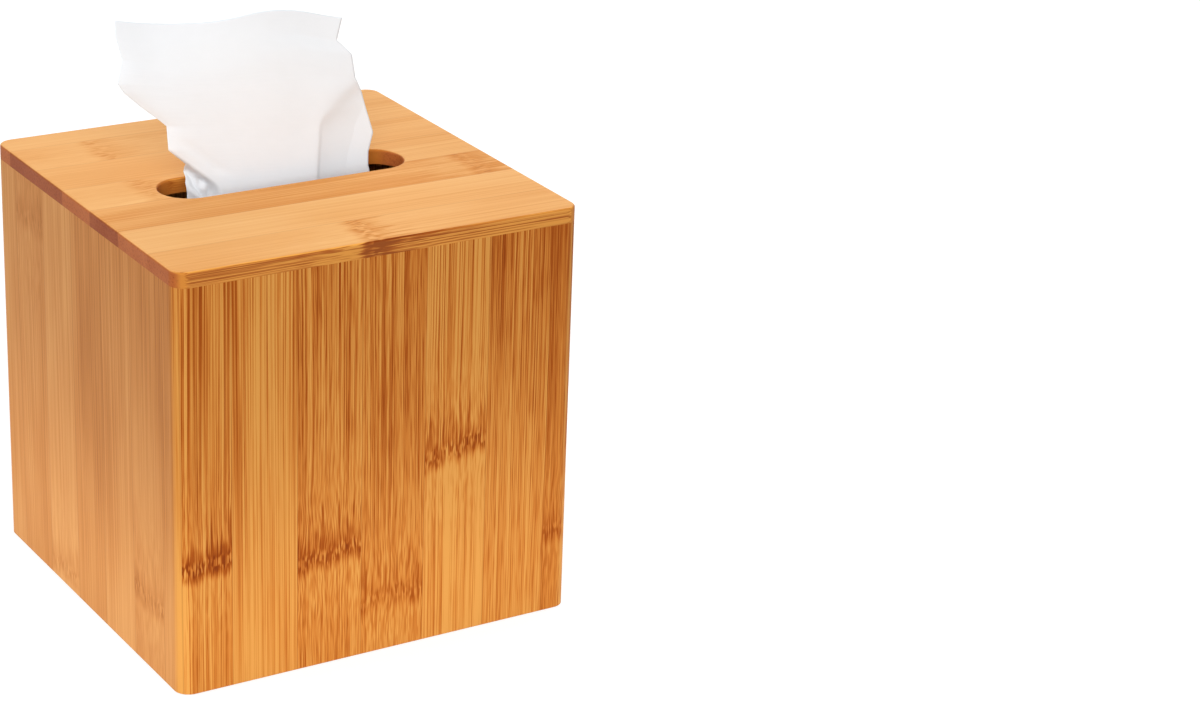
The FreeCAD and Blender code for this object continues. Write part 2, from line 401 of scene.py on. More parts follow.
def grain_depth(tree, grain, across, along, seams, ends, lath, draw):
    """The depth of a lath's colour, from 0 for pale wood: its tone, its layers of fibre and its knot."""
    # Fibres sway slowly, and swirl near the knot
    shift = add_marks(tree, grain, SWAY, draw)
    knot = lath.knot
    if knot:
        middle = (seams[0] + seams[1]) / 2
        climb = knot.rise / (seams[1] - seams[0])
        line = climb * middle - knot.place
        level = add_node(tree, "Math", [across, -climb, line], operation="MULTIPLY_ADD")
        raised = add_node(tree, "Math", [along, level], operation="ADD")
        ragged = add_marks(tree, grain, RAGGED, draw, -RAGGED.gain / 2)
        above = add_node(tree, "Math", [raised, ragged], operation="ADD")
        away = add_node(tree, "Math", [raised], operation="ABSOLUTE")
        near = add_node(tree, "MapRange", [away, *KNOT_REACH, knot.ripple, 0.0], **SOFT)
        eddy = add_marks(tree, grain, EDDY, draw, -EDDY.gain / 2)
        shift = add_node(tree, "Math", [eddy, near, shift], operation="MULTIPLY_ADD")
    sideways = add_node(tree, "CombineXYZ", {"X": shift})
    bent = add_node(tree, "VectorMath", [grain, sideways], operation="ADD")

    fibre = -LONG_MEAN
    for layer in LONG_LAYERS:
        fibre = add_marks(tree, bent, layer, draw, fibre)
    feather = FEATHER._replace(gain=lath.feather * FEATHER.gain)
    dashes = add_marks(tree, bent, feather, draw, -lath.feather * FEATHER_MEAN)
    # Streaks fade towards the near end: on the walls, painted light low down
    near_end, far_end = (share * lath.streaks for share in STREAK_SHARES)
    strength = add_node(tree, "MapRange", [along, *ends, near_end, far_end])
    fibre = add_node(tree, "Math", [fibre, strength, dashes], operation="MULTIPLY_ADD")
    if knot:
        # Near the knot short flecks take the place of the long marks
        kept = add_node(tree, "Math", [near, -FLECKED_SHARE, 1.0], operation="MULTIPLY_ADD")
        fibre = add_node(tree, "Math", [fibre, kept], operation="MULTIPLY")
        fleck = add_marks(tree, bent, FLECKS, draw, -FLECKS.gain / 2)
        flecked = add_node(tree, "Math", [near, lath.streaks], operation="MULTIPLY")
        fibre = add_node(tree, "Math", [fleck, flecked, fibre], operation="MULTIPLY_ADD")
    faded = add_marks(tree, grain, FADE, draw, fibre)
    # The climb, a slope of tone along the lath; on the walls partly painted light, paler at the foot
    slope = 2 * lath.climb / (ends[1] - ends[0])
    start = MIDDLE_DEPTH + lath.tone - FADE.gain / 2 - slope * (ends[0] + ends[1]) / 2
    toned = add_node(tree, "Math", [along, slope, start], operation="MULTIPLY_ADD")
    depth = add_node(tree, "Math", [faded, toned], operation="ADD")
    if knot:
        depth = add_scar(tree, depth, grain, bent, above, knot.strength, draw)
    return depth


def bamboo(name, axes, seams, ends, lath, tones, rim_tones, cut, draw):
    """Bamboo lath, planed, glued edge to edge, sanded and sprayed with satin lacquer.

    Fibre bundles give long dark lines and hairlines on a honey ground. At a knot they part in eddies
    and short flecks, and a ragged reddish scar with a row of specks crosses the lath. Its sawn ends show
    the bundles as dots, and the glue draws a thin dark line along each seam.
    """
    material, tree = new_material(name)
    place = add_node(tree, "TexCoord")
    metres = add_node(tree, "SeparateXYZ", [place.outputs["Object"]])
    turned = add_node(tree, "CombineXYZ", [metres.outputs[axis] for axis in axes])
    grain = add_node(tree, "VectorMath", [turned, (MM_PER_METRE,) * 3], operation="MULTIPLY")
    split = add_node(tree, "SeparateXYZ", [grain])
    across, along = split.outputs["X"], split.outputs["Z"]
    depth = grain_depth(tree, grain, across, along, seams, ends, lath, draw)

    # The panel's rim, where the surface looks across the laths. Its rounded edges and corners are painted
    # paler, partly as sanding wear and partly as a painted highlight, and its marks end at the panel's
    # corners.
    facing = add_node(tree, "SeparateXYZ", [place.outputs["Normal"]])
    sideface = add_node(tree, "Math", [facing.outputs[axes[0]]], operation="ABSOLUTE")
    endface = add_node(tree, "Math", [facing.outputs[axes[2]]], operation="ABSOLUTE")
    # Painted highlight and wear on the rounded edge: paler where the surface turns across the laths
    paler = WORN_EDGE_AND_HIGHLIGHT / lath.rim.contrast
    rounding = add_node(tree, "MapRange", [sideface, *RIM_TURN, 0.0, paler], **SOFT)
    flattening = add_node(tree, "MapRange", [sideface, *FLAT_TURN, 1.0, 0.0], **SOFT)
    worn_and_highlit = add_node(tree, "Math", [rounding, flattening], operation="MULTIPLY")
    # sanded: the depth with that painted highlight and wear taken off
    sanded = add_node(tree, "Math", [depth, worn_and_highlit], operation="SUBTRACT")
    contrast = add_node(tree, "MapRange", [endface, *CORNER_TURN, lath.rim.contrast, 0.0], **SOFT)
    varied = add_node(tree, "Math", [sanded, MIDDLE_DEPTH + lath.tone], operation="SUBTRACT")
    on_rim = add_node(tree, "Math", [varied, contrast, lath.rim.level], operation="MULTIPLY_ADD")

    # Colours of the panel's face and of its rim
    ramps = []
    deepest = RAMP_DEPTHS[-1]
    for level, colours in ((depth, tones), (on_rim, rim_tones)):
        scale = add_node(tree, "Math", [level, 1 / deepest], operation="MULTIPLY", use_clamp=True)
        ramp = add_node(tree, "ValToRGB", [scale])
        stops = ramp.color_ramp.elements
        for inner in RAMP_DEPTHS[1:-1]:
            stops.new(inner / deepest)
        for stop, tone in zip(stops, colours):
            stop.color = (*tone, 1.0)
        ramps.append(ramp.outputs[0])
    rim = add_node(tree, "MapRange", [sideface, *RIM_TURN, 0.0, 1.0], **SOFT)
    faces = add_node(tree, "Mix", {"Factor": rim, MIX_A: ramps[0], MIX_B: ramps[1]}, data_type="RGBA")

    # Sawn ends, where the surface looks along the fibre
    end = add_node(tree, "MapRange", [endface, *SAWN_TURN, 0.0, 1.0], **SOFT)
    spaced = add_node(tree, "Mapping", {
        "Vector": grain, "Scale": (1 / BUNDLE_SPACING, 1 / BUNDLE_SPACING, 0.0)})
    bundles = add_node(tree, "TexVoronoi", {"Vector": spaced, "Scale": 1.0})
    dots = add_node(tree, "MapRange", [bundles.outputs["Distance"], *BUNDLE_RADII, 1.0, 0.0])
    bands = add_node(tree, "Math", [depth, SAWN_GRAIN, SAWN_LEVEL + lath.sawn], operation="MULTIPLY_ADD")
    sawn = add_node(tree, "Math", [dots, SAWN_DOTS, bands], operation="MULTIPLY_ADD", use_clamp=True)
    cut_pale, cut_deep = ((*tone, 1) for tone in cut)
    ends_tone = add_node(tree, "Mix", {"Factor": sawn, MIX_A: cut_pale, MIX_B: cut_deep}, data_type="RGBA")
    wood = add_node(tree, "Mix", {
        "Factor": end, MIX_A: faces.outputs[MIXED], MIX_B: ends_tone.outputs[MIXED]}, data_type="RGBA")

    # Glue lines along both seams
    from_low = add_node(tree, "Math", [across, seams[0]], operation="SUBTRACT")
    from_high = add_node(tree, "Math", [seams[1], across], operation="SUBTRACT")
    nearest = add_node(tree, "Math", [from_low, from_high], operation="MINIMUM")
    glue = add_node(tree, "MapRange", [nearest, 0.0, GLUE_WIDTH, GLUE_COVER, 0.0])
    shown = add_node(tree, "Mix", {
        "Factor": glue, MIX_A: wood.outputs[MIXED], MIX_B: (*tones[-1], 1)}, data_type="RGBA")

    # Lacquer sinks a little into the open fibres, which makes them duller and slightly sunk
    rough = add_node(tree, "MapRange", [depth, 0.0, DULL_DEPTH, *LACQUER_ROUGHNESS])
    bump = add_node(tree, "Bump", {
        "Height": depth, "Strength": 0.1, "Distance": FIBRE_SINK * MM}, invert=True)
    shader = add_node(tree, "BsdfPrincipled", {
        "Base Color": shown.outputs[MIXED], "Roughness": rough, "Normal": bump, "IOR": 1.5,
        "Specular IOR Level": 0.1})
    add_node(tree, "OutputMaterial", [shader])
    return material


# Ridges of the creped paper, in mm. Real ones are about 0.4 mm apart. These are coarser so that they show.
CREPE_LENGTH = 9.0
CREPE_SPACING = 1.1
CREPE_HEIGHT = 0.15
# Size of the paper's clouds of fibre in mm, and the tone of the darkest
CLOUD_SIZE = 5.0
CLOUD_TONE = 0.97


def tissue_paper(name, paper):
    """Facial tissue, two plies of soft creped paper.

    Matt and white, with fine crepe ridges across the sheet that only soften the light on it.
    """
    material, tree = new_material(name)
    place = add_node(tree, "UVMap")
    ridged = add_node(tree, "Mapping", {
        "Vector": place, "Scale": (1 / CREPE_LENGTH, 1 / CREPE_SPACING, 1.0)})
    crepe = add_node(tree, "TexNoise", {"Vector": ridged, "Scale": 1.0, "Detail": 2.0})
    cloud = add_node(tree, "Mapping", {"Vector": place, "Scale": (1 / CLOUD_SIZE, 1 / CLOUD_SIZE, 1.0)})
    fibres = add_node(tree, "TexNoise", {"Vector": cloud, "Scale": 1.0, "Detail": 4.0})
    darkest = (*(CLOUD_TONE * np.array(paper)), 1)
    tint = add_node(tree, "Mix", {"Factor": fibres, MIX_A: (*paper, 1), MIX_B: darkest}, data_type="RGBA")
    bump = add_node(tree, "Bump", {"Height": crepe, "Strength": 0.25, "Distance": CREPE_HEIGHT * MM})
    shader = add_node(tree, "BsdfPrincipled", {
        "Base Color": tint.outputs[MIXED], "Roughness": 0.9, "Normal": bump, "Specular IOR Level": 0.2,
        "Sheen Weight": 0.1})
    add_node(tree, "OutputMaterial", [shader])
    return material


def smooth(low, high, value):
    """The S-shaped rise from 0 at low to 1 at high."""
    share = np.clip((value - low) / (high - low), 0, 1)
    return share * share * (3 - 2 * share)


def through(places, values, at):
    """The cubic curve through the values at their places, with the slopes of its neighbours."""
    places, values = np.asarray(places, float), np.asarray(values, float)
    slopes = np.gradient(values, places)
    first = np.clip(np.searchsorted(places, at) - 1, 0, len(places) - 2)
    span = places[first + 1] - places[first]
    u = np.clip((at - places[first]) / span, 0, 1)
    rise = values[first + 1] - values[first]
    start, finish = slopes[first] * span, slopes[first + 1] * span
    square = 3 * rise - 2 * start - finish
    cube = start + finish - 2 * rise
    return values[first] + u * (start + u * (square + u * cube))


def bend(value, softness):
    """The softened ramp: 0 well below 0, and the value itself well above it."""
    return softness * np.logaddexp(0, value / softness)


def groove(depth, width, off):
    """A rounded groove by the distance off its line, or a ridge where its depth is negative."""
    return depth * np.exp(-(off / width) ** 2)


class Ripples(NamedTuple):
    """Sine ripples in a sheet: their size in mm, their turn per mm across and up, and their start."""

    size: float
    across: float
    up: float
    start: float

    def at(self, x, height):
        """The ripples' depth at a place and height: their size times the sine of their turn."""
        return self.size * np.sin(self.across * x + self.up * height + self.start)


def sheet_object(name, points, flat, material):
    """A sheet of quads through a grid of points in millimetres, with its flat places as UVs."""
    rows, columns = points.shape[:2]
    number = np.arange(rows * columns).reshape(rows, columns)
    corners = (number[:-1, :-1], number[:-1, 1:], number[1:, 1:], number[1:, :-1])
    faces = np.stack(corners, axis=-1).reshape(-1, 4)
    mesh = bpy.data.meshes.new(name)
    mesh.from_pydata(points.reshape(-1, 3) * MM, [], faces)
    layer = mesh.uv_layers.new(name="flat")
    layer.uv.foreach_set("vector", flat.reshape(-1, 2)[faces.ravel()].astype(np.float32).ravel())
    mesh.polygons.foreach_set("use_smooth", np.ones(len(faces), bool))
    mesh.materials.append(material)
    piece = bpy.data.objects.new(name, mesh)
    bpy.context.scene.collection.objects.link(piece)
    return piece


# The standing tissue. Places are in mm across the cover, and heights in mm above the top panel.
# The tissue's size before it was folded double and gathered
FLAT_WIDTH = 150.0
FLAT_LENGTH = 180.0
# Heights and places of its left and right edges
LEFT_EDGE = [
    (-87, -38), (-44, -38), (-20, -34.5), (-3.3, -32.3), (0.6, -32.8), (4.1, -32.1), (6.9, -32.7),
    (12.1, -38.3), (19.4, -37.9), (21.4, -40.0), (25.9, -45.3), (31.3, -51.0), (34.4, -52.9),
    (37.5, -51.8), (41.1, -50.2), (48.2, -51.4), (53.1, -51.0),
]
RIGHT_EDGE = [
    (-87, 38), (-44, 38), (-20, 35), (-2.2, 32.7), (1.6, 33.3), (7.5, 36.1), (20.6, 33.7), (25.8, 31.3),
    (33.1, 31.2), (37.8, 26.6), (44.4, 29.7),
]
# The upper edge's height over the line between its corners, by share of the width, and the shares of the
# sheet's rise over which it grows
TOP_EDGE = [
    (0.0, 0.0), (0.13, -1.1), (0.26, -1.2), (0.39, -0.6), (0.51, 0.9), (0.62, 2.6), (0.71, 3.0),
    (0.81, 2.4), (0.91, 1.0), (1.0, 0.0),
]
TOP_EDGE_GROWS = (0.7, 1.0)
# Rows from the tail to the upper edge, and the share of them that lies below a depth under the top panel
TISSUE_ROWS = 160
TAIL_ROWS = 0.25
TAIL_ROWS_DEPTH = 6.0
TISSUE_COLUMNS = 240
# The fold on the left, in shares of the width: its radius, and how soon the front goes over into the back
FOLD_RADIUS = 0.01
FOLD_TURN = 0.02
# Heights over which the sheet comes free of the slot, and over which the slot holds it flat
FREE_HEIGHTS = (-6, 30)
HELD_HEIGHTS = (-4, -44)
# How much of its folds the held part loses, and its own shallow ripples
HELD_FLAT = 0.9
HANG = Ripples(0.9, 0.19, 0.02, 0.6)
# How far the tissue leans back for its height, how far below the top panel that begins, and how softly
LEAN = 0.29
LEAN_DEPTH = 6.0
LEAN_START = 2.0
# How far the sheet bulges to the front
BULGE = 1.2
# The pleat's line on the right: height and place
PLEAT_LINE = [(-40, 11.0), (-2, 12.4), (8, 14.4), (14.6, 16.4), (18.5, 21.0), (24, 30.7), (28, 38.0)]
# Softness of its crease near the slot, what it gains above and the heights between, in mm
PLEAT_CREASE = 0.5
PLEAT_OPENING = 1.6
PLEAT_OPENS = (12, 22)
# How soon the turned flank levels out, and the share of its turn that the back takes
PLEAT_RUN = 7.0
BACK_TURN = 0.85
# The tuck in the front along that line: its depth, its run across the line and the heights where it ends
TUCK = 0.6
TUCK_RUN = (-0.5, 0.8)
TUCK_ENDS = (18, 8)
# The pucker's lip: a point on it, its fall and its length for each mm across, and its right end
LIP_PLACE = -32.7
LIP_HEIGHT = 6.9
LIP_FALL = 0.845
LIP_LENGTH = 1.31
LIP_END = -22.8
# How far the sheet is drawn in below the lip, over what run, and the heights over which that grows
PUCKER = 3.8
PUCKER_RUN = (-0.8, 1.6)
PUCKER_GROWS = (-30, -4)
# A crumpled strand below the lip: a point on it, its lean, its swing, and the depth and width of its groove
# and of the ridge to its left
STRAND_PLACE = -31.6
STRAND_HEIGHT = 2.7
STRAND_LEAN = 0.6
STRAND_SWING = Ripples(0.4, 0.0, 0.9, 0.0)
STRAND_GROOVE = (1.1, 0.8)
STRAND_RIDGE = (-1.0, 1.4)
RIDGE_OFF = 2.0
# Rucks to the right of the strand, and how far from it they start and are full
RUCKS = Ripples(0.5, 1.1, -0.7, 1.0)
RUCKS_RUN = (1.0, 2.5)
# Where strand and rucks start and are full: below the lip, and by height
CRUMPLE_RUN = (0.2, 1.4)
CRUMPLE_GROWS = (-12, -5)
# The hollow above the lip: a point on its line, its fall for each mm across, its depth and width, and the
# heights where it comes and where it goes
HOLLOW_PLACE = -24.8
HOLLOW_HEIGHT = 6.9
HOLLOW_FALL = 0.93
HOLLOW_GROOVE = (0.35, 2.7)
HOLLOW_COMES = (1, 5)
HOLLOW_GOES = (17, 11)
# Faint creases: place at the slot, lean to the right for its height, and turn of the sheet
CREASES = [(-24, -0.55, 0.045), (-17, -0.2, -0.06), (-3, 0.05, 0.05), (6, 0.3, -0.05)]
CREASE_SOFTNESS = 1.2
CREASES_GROW = (0, 14)
# The wing on the left turns to the front: by how much, and the places and heights over which it grows
WING = 1.5
WING_REACH = (-38, -54)
WING_GROWS = (20, 40)
# Waves along the upper edge: their size, how many cross the width, where they start, and their heights
WAVE = 0.6
WAVE_COUNT = 1.15
WAVE_START = 0.15
WAVES_GROW = (22, 52)
# How far front and back close up at the free edges, over which shares of the width and of the rise, how
# soon they part from the fold, and the share of their gap that the slot leaves
CLOSING = 0.8
CLOSING_WIDTH = (0.8, 1.0)
CLOSING_RISE = (0.88, 1.0)
FOLD_OPENING = 0.06
SLOT_GAP = 0.5


def pleat(x, height, front, step):
    """How far the right flank turns back, in mm.

    Past the pleat's line it falls back by a step that levels out as 1 less an exponential. Near the slot a
    small tuck in the front sharpens the line, and the back turns a little less than the front.
    """
    past = x - through(*zip(*PLEAT_LINE), height)
    softness = PLEAT_CREASE + PLEAT_OPENING * smooth(*PLEAT_OPENS, height)
    turned = 1 - np.exp(-bend(past, softness) / PLEAT_RUN)
    tuck = TUCK * smooth(*TUCK_RUN, past) * smooth(*TUCK_ENDS, height)
    return (step * turned + tuck * front) * (BACK_TURN + (1 - BACK_TURN) * front)


def pucker(x, height):
    """How far the sheet is drawn in at its lower left, in mm.

    Under a slanting lip it steps back, and there a strand of groove and ridge and small rucks crumple it.
    """
    slant = (LIP_HEIGHT - LIP_FALL * (x - LIP_PLACE) - height) / LIP_LENGTH
    under = -np.logaddexp(-slant, x - LIP_END)
    drawn = PUCKER * smooth(*PUCKER_RUN, under) * smooth(*PUCKER_GROWS, height)
    strand = x - STRAND_PLACE - STRAND_LEAN * (STRAND_HEIGHT - height) - STRAND_SWING.at(x, height)
    folds = groove(*STRAND_GROOVE, strand) + groove(*STRAND_RIDGE, strand + RIDGE_OFF)
    rucks = RUCKS.at(x, height) * smooth(*RUCKS_RUN, strand)
    return drawn + (folds + rucks) * smooth(*CRUMPLE_RUN, under) * smooth(*CRUMPLE_GROWS, height)


def hollow(x, height):
    """A shallow groove in the front along the pucker's lip, in mm."""
    off = height - HOLLOW_HEIGHT + HOLLOW_FALL * (x - HOLLOW_PLACE)
    return groove(*HOLLOW_GROOVE, off) * smooth(*HOLLOW_COMES, height) * smooth(*HOLLOW_GOES, height)


def creases(x, height):
    """Faint straight creases, in mm: across each line the sheet turns by a small slope."""
    turned = sum(turn * bend(x - place - tilt * height, CREASE_SOFTNESS) for place, tilt, turn in CREASES)
    return turned * smooth(*CREASES_GROW, height)


def standing_tissue(sizes, top):
    """The standing tissue as a sheet folded double, in mm.

    Columns run from the right edge over the front to the fold on the left, and back again behind it.
    Rows run from the tail to the upper edge. Across, a point lies between the outline's edges at its
    height. In depth it is the sum of a lean, a bulge, the pleat, the pucker and its hollow, faint creases,
    the turned wing, soft waves and half the gap between front and back. Below the slot little of that is
    left, and the sheet hangs in shallow ripples.
    """
    drop = sizes.tail_drop / MM
    lift_left, lift_right = LEFT_EDGE[-1][0], RIGHT_EDGE[-1][0]
    tail = (drop - TAIL_ROWS_DEPTH) / (drop + lift_left)
    rise = np.interp(np.linspace(0, 1, TISSUE_ROWS), (0, TAIL_ROWS, 1), (0, tail, 1))[:, None]
    round_fold = np.linspace(1, -1, TISSUE_COLUMNS)[None, :]
    share = np.sqrt(round_fold ** 2 + FOLD_RADIUS ** 2) - FOLD_RADIUS
    side = np.tanh(round_fold / FOLD_TURN)
    front = (side + 1) / 2

    left_height = -drop + (drop + lift_left) * rise
    right_height = -drop + (drop + lift_right) * rise
    left = np.interp(left_height, *zip(*LEFT_EDGE))
    right = np.interp(right_height, *zip(*RIGHT_EDGE))
    x = left + (right - left) * share
    crest = through(*zip(*TOP_EDGE), share) * smooth(*TOP_EDGE_GROWS, rise)
    height = left_height + (right_height - left_height) * share + crest

    free = smooth(*FREE_HEIGHTS, height)
    held = smooth(*HELD_HEIGHTS, height)
    lean = LEAN * (bend(height + LEAN_DEPTH, LEAN_START) - LEAN_DEPTH)
    bulge = -BULGE * np.sin(pi * share) * free
    turned = pleat(x, height, front, sizes.pleat_step / MM) * (1 - held)
    drawn = pucker(x, height) + hollow(x, height) * front
    wing = -WING * smooth(*WING_REACH, x) * smooth(*WING_GROWS, height)
    wave = WAVE * np.sin(2 * pi * (WAVE_COUNT * share + WAVE_START)) * smooth(*WAVES_GROW, height)
    loose = lean + bulge + turned + drawn + creases(x, height) + wing + wave

    # Front and back lie nearly together at the free edges
    closing = (1 - CLOSING * smooth(*CLOSING_WIDTH, share)) * (1 - CLOSING * smooth(*CLOSING_RISE, rise))
    opening = (SLOT_GAP + (1 - SLOT_GAP) * free) * np.tanh(share / FOLD_OPENING)
    gap = sizes.ply_gap / MM * opening * closing
    y = loose * (1 - HELD_FLAT * held) + HANG.at(x, height) * held - side * gap / 2
    points = np.stack(np.broadcast_arrays(x, y, top + height), axis=-1)
    flat = np.stack(np.broadcast_arrays(round_fold * FLAT_WIDTH / 2, rise * FLAT_LENGTH), axis=-1)
    return points, flat


# The pack, in mm: half the gap between its inner limbs, the radii of its innermost and outermost bends, and
# the share of its room that a leaf fills
PACK_GAP_HALF = 2.6
INNER_RADIUS = 2.6
OUTER_RADIUS = 24.0
LEAF_FILL = 0.94
PACK_SEED = 41
# Points along a leaf's limbs, bends and bottom, and across it
LIMB_POINTS = 14
BEND_POINTS = 12
BOTTOM_POINTS = 8
LEAF_COLUMNS = 17
# How far at most a leaf's ends and its sides fall short, in mm
ENDS_SHORT = 1.2
SIDES_SHORT = 0.8
# The power that rounds a leaf's edges, and how near its two sides come before they are joined, in mm
EDGE_POWER = 24
EDGE_JOIN = 0.002
# A leaf's ripple: its size in mm, its turn in radians per mm across and over half its length, and the range
# of its starts
LEAF_RIPPLE = 0.06
RIPPLE_ACROSS = 0.11
RIPPLE_ALONG = 5
RIPPLE_STARTS = 6


def rounded(share):
    """The thickness left at a share of the way from a leaf's middle to its edge: a squared-off ellipse."""
    return np.sqrt(np.maximum(1 - share ** EDGE_POWER, 0))


def pack_leaf(outer_depth, bottom, radius, upper, half_width, thickness, draw):
    """One bundle of the pack, as a thin closed pillow bent into a U, in mm.

    The U is two upright limbs, two quarter bends and a flat bottom. The pillow stands off the U's line by
    half its thickness to each side, and thins to nothing at its rim in a rounded edge.
    """
    limb = np.linspace(0, 1, LIMB_POINTS)
    turn = np.linspace(0, pi / 2, BEND_POINTS)
    ends = upper + draw.uniform(-ENDS_SHORT, 0.0, 2)
    bend_y, bend_z = outer_depth - radius, bottom + radius
    y = np.concatenate([
        np.full(LIMB_POINTS, -outer_depth), -bend_y - radius * np.cos(turn[1:]),
        np.linspace(-bend_y, bend_y, BOTTOM_POINTS)[1:-1], bend_y + radius * np.sin(turn),
        np.full(LIMB_POINTS - 1, outer_depth)])
    z = np.concatenate([
        ends[0] + (bend_z - ends[0]) * limb, bend_z - radius * np.sin(turn[1:]),
        np.full(BOTTOM_POINTS - 2, bottom), bend_z - radius * np.cos(turn),
        bend_z + (ends[1] - bend_z) * limb[1:]])
    step_y, step_z = np.gradient(y), np.gradient(z)
    run = np.hypot(step_y, step_z)
    normal_y, normal_z = step_z / run, -step_y / run
    walked = np.concatenate([[0], np.cumsum(np.hypot(np.diff(y), np.diff(z)))])
    along = 2 * walked / walked[-1] - 1
    x = np.sin(np.linspace(-pi / 2, pi / 2, LEAF_COLUMNS)) * (half_width + draw.uniform(-SIDES_SHORT, 0.0))
    edge = rounded(along)[:, None] * rounded(x / x[-1])
    ripple_across = np.sin(RIPPLE_ACROSS * x + draw.uniform(0, RIPPLE_STARTS))
    ripple_along = np.sin(RIPPLE_ALONG * along + draw.uniform(0, RIPPLE_STARTS))
    ripple = LEAF_RIPPLE * ripple_across * ripple_along[:, None]
    sides = []
    for way in (1, -1):
        off = ripple + way * edge * thickness / 2
        sides.append(np.stack(np.broadcast_arrays(
            x, y[:, None] + normal_y[:, None] * off, z[:, None] + normal_z[:, None] * off), axis=-1))
    flat = np.stack(np.broadcast_arrays(x, walked[:, None]), axis=-1)
    return sides, flat


def merge_rims(piece):
    """Close the rims where the two sides of each leaf meet, and turn every face outwards."""
    mesh = bmesh.new()
    mesh.from_mesh(piece.data)
    bmesh.ops.remove_doubles(mesh, verts=mesh.verts, dist=EDGE_JOIN * MM)
    bmesh.ops.recalc_face_normals(mesh, faces=mesh.faces)
    mesh.to_mesh(piece.data)
    mesh.free()


def random_lath(ends, draw):
    """A lath with a look drawn at random, and with a knot or none."""
    knot = Knot(draw.uniform(*ends), draw.uniform(*RANDOM_RISES), OTHER_SCARS, OTHER_RIPPLES)
    tone, climb = draw.uniform(*RANDOM_TONES), draw.uniform(*RANDOM_CLIMBS)
    feather = draw.uniform(*RANDOM_FEATHERS)
    return Lath(tone, climb, OTHER_STREAKS, feather, knot if draw.random() < KNOTTED_SHARE else None)


def finish_laths(panel, colours):
    """Give every lath of a panel its bamboo."""
    axes, kind, seed = PANELS[panel]
    draw = np.random.default_rng(seed)
    face_names = [f"{kind}_{tone}" for tone in RAMP_TONES]
    # Every rim takes the front's colours, so the top panel's rim is darker than its face: partly painted
    # shade
    rim_names = [f"front_{tone}" for tone in RAMP_TONES]
    if panel == "top_lath":
        rim_names[0] = "rim_pale"
    tones, rim_tones, cut = (
        [tuple(getattr(colours, name)) for name in names]
        for names in (face_names, rim_names, ("cut_pale", "cut_deep")))
    across, along = "XYZ".index(axes[0]), "XYZ".index(axes[2])
    for number in range(LATHS_PER_PANEL):
        node = f"{panel}_{number + 1}"
        low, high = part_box(node)
        seams = (low[across] / MM, high[across] / MM)
        ends = (low[along] / MM, high[along] / MM)
        lath = LATHS[panel][number] if panel in LATHS else random_lath(ends, draw)
        material = bamboo(
            f"lacquered bamboo {node}", axes, seams, ends, lath, tones, rim_tones, cut, draw)
        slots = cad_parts[node].data.materials
        slots.clear()
        slots.append(material)


# The floor: how far it reaches in m, its points along a side, its level in mm, and its own glow
FLOOR_REACH = 6
FLOOR_POINTS = 9
FLOOR_LEVEL = -0.3
FLOOR_GLOW = 0.72


class SoftBox(NamedTuple):
    """A square soft box that points at the cover: its place and side in metres, and its power's setting."""

    place: tuple
    side: float
    power: str


SOFT_BOXES = {
    "key_softbox": SoftBox((-0.505, -1.035, 0.75), 1.0, "key"),
    "left_softbox": SoftBox((-1.0, 0.1, 0.7), 0.8, "fill"),
    "rear_softbox": SoftBox((0.85, 0.95, 0.5), 1.2, "back"),
    "roof_softbox": SoftBox((-0.1, 0.1, 1.25), 1.0, "roof"),
}
SOFT_BOX_AIM = (0.0, 0.0, 0.08)
# Low strips of light by three walls: which way each stands from the cover, how far from its middle and how
# high, their width and height in metres, and the spread of their light
FOOT_STRIPS = {
    "front_foot_strip": (0, -1, 0),
    "left_foot_strip": (-1, 0, 0),
    "right_foot_strip": (1, 0, 0),
}
STRIP_DISTANCE = 0.17
STRIP_LEVEL = 0.012
STRIP_SIZE = (0.24, 0.03)
STRIP_SPREAD = radians(110)
# The camera's sensor in mm, and the nearest that it sees in metres
SENSOR_WIDTH = 36.0
NEAREST_SEEN = 0.05


def seen_rays(tree):
    """1 for what the camera sees, straight, mirrored or through glass, and 0 for what lights the object."""
    path = add_node(tree, "LightPath")
    straight, mirrored = path.outputs["Is Camera Ray"], path.outputs["Is Glossy Ray"]
    seen = add_node(tree, "Math", [straight, mirrored], operation="MAXIMUM")
    return add_node(tree, "Math", [seen, path.outputs["Is Transmission Ray"]], operation="MAXIMUM")


def area_lamp(scene, name, place, aim, size, watts, spread=pi):
    """A rectangular lamp that lights the object and isn't seen itself."""
    lamp = bpy.data.lights.new(name, "AREA")
    lamp.shape = "RECTANGLE"
    lamp.size, lamp.size_y = size
    lamp.energy = watts
    lamp.spread = spread
    box = bpy.data.objects.new(name, lamp)
    box.location = place
    box.rotation_mode = "QUATERNION"
    box.rotation_quaternion = (aim - place).to_track_quat("-Z", "Y")
    box.visible_camera = False
    box.visible_glossy = False
    scene.collection.objects.link(box)


class TISSUECOVER_OT_finish_walls(bpy.types.Operator):
    """Give the laths of the four walls their bamboo"""

    bl_idname = "tissue_cover.finish_walls"
    bl_label = "Finish wall laths"

    def execute(self, context):
        for wall in WALLS:
            finish_laths(wall, context.scene.bamboo_colours)
        return {"FINISHED"}


class TISSUECOVER_OT_finish_top(bpy.types.Operator):
    """Give the laths of the top panel their bamboo"""

    bl_idname = "tissue_cover.finish_top"
    bl_label = "Finish top laths"

    def execute(self, context):
        finish_laths("top_lath", context.scene.bamboo_colours)
        return {"FINISHED"}


class TISSUECOVER_OT_finish_base(bpy.types.Operator):
    """Give the laths of the sliding base their bamboo"""

    bl_idname = "tissue_cover.finish_base"
    bl_label = "Finish base laths"

    def execute(self, context):
        finish_laths("base_lath", context.scene.bamboo_colours)
        return {"FINISHED"}


